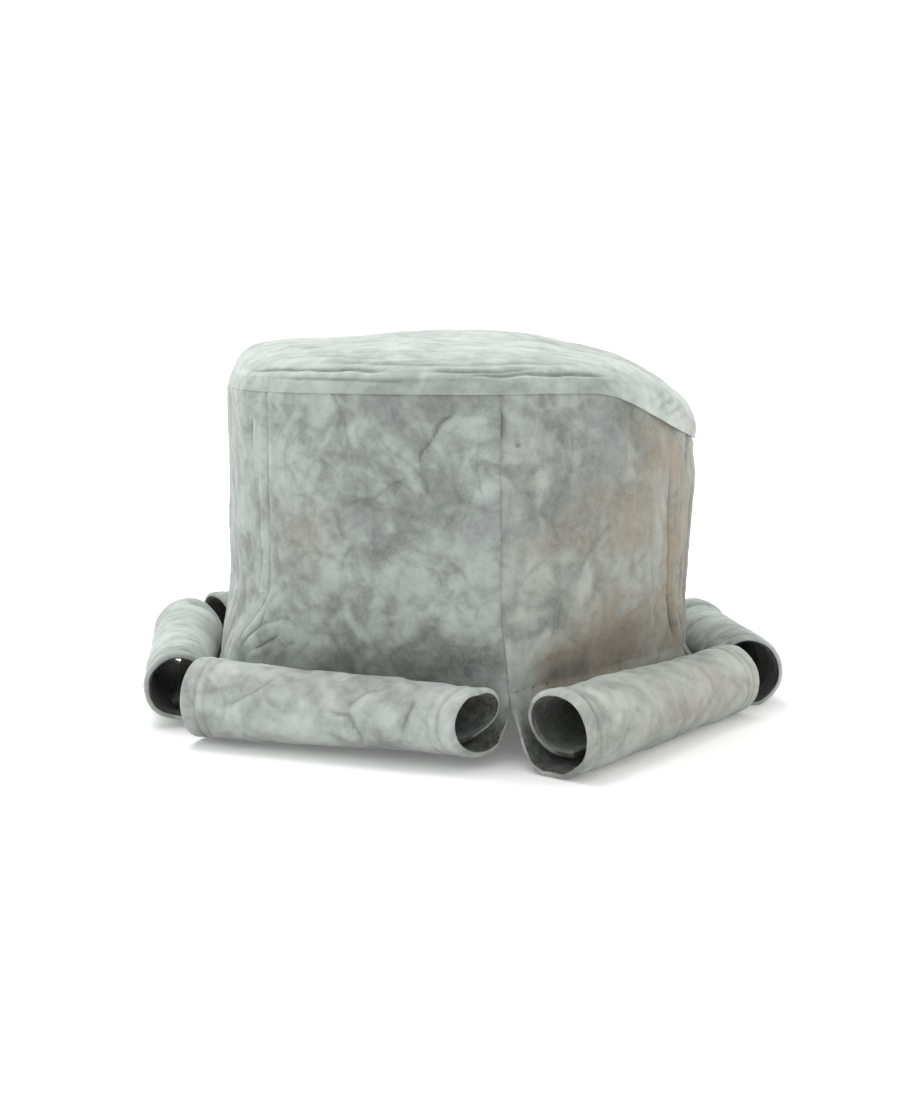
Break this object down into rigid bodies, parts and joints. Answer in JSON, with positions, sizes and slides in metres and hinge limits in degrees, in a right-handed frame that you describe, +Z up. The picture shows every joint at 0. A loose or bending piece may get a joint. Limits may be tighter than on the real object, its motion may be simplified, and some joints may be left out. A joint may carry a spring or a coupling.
{
  "type": "tulip hat",
  "caption": "Soft panelled hat with a slumped round tip, whose brim petals are rolled outwards and up into open tubes.",
  "frame": {"origin": "middle of the hat's bounding box, on the surface that the rolled brim stands on", "axes": "+Z up through the tip, -Y out of the front of the hat, +X to the right as seen from the front"},
  "size_m": [0.2616, 0.2578, 0.1478],
  "materials": {
    "tip_hide": "soft matt washed suede, pale grey-green, lightly mottled and creased",
    "panel_hide": "soft matt washed suede, grey-green with cooler and warmer clouds, finely creased, hemmed edges"
  },
  "bodies": {
    "root": {"tip": "tip_hide", "panel_front_left": "panel_hide", "panel_front_right": "panel_hide", "panel_right": "panel_hide", "panel_back_right": "panel_hide", "panel_back_left": "panel_hide", "panel_left": "panel_hide"}
  },
  "joints": []
}
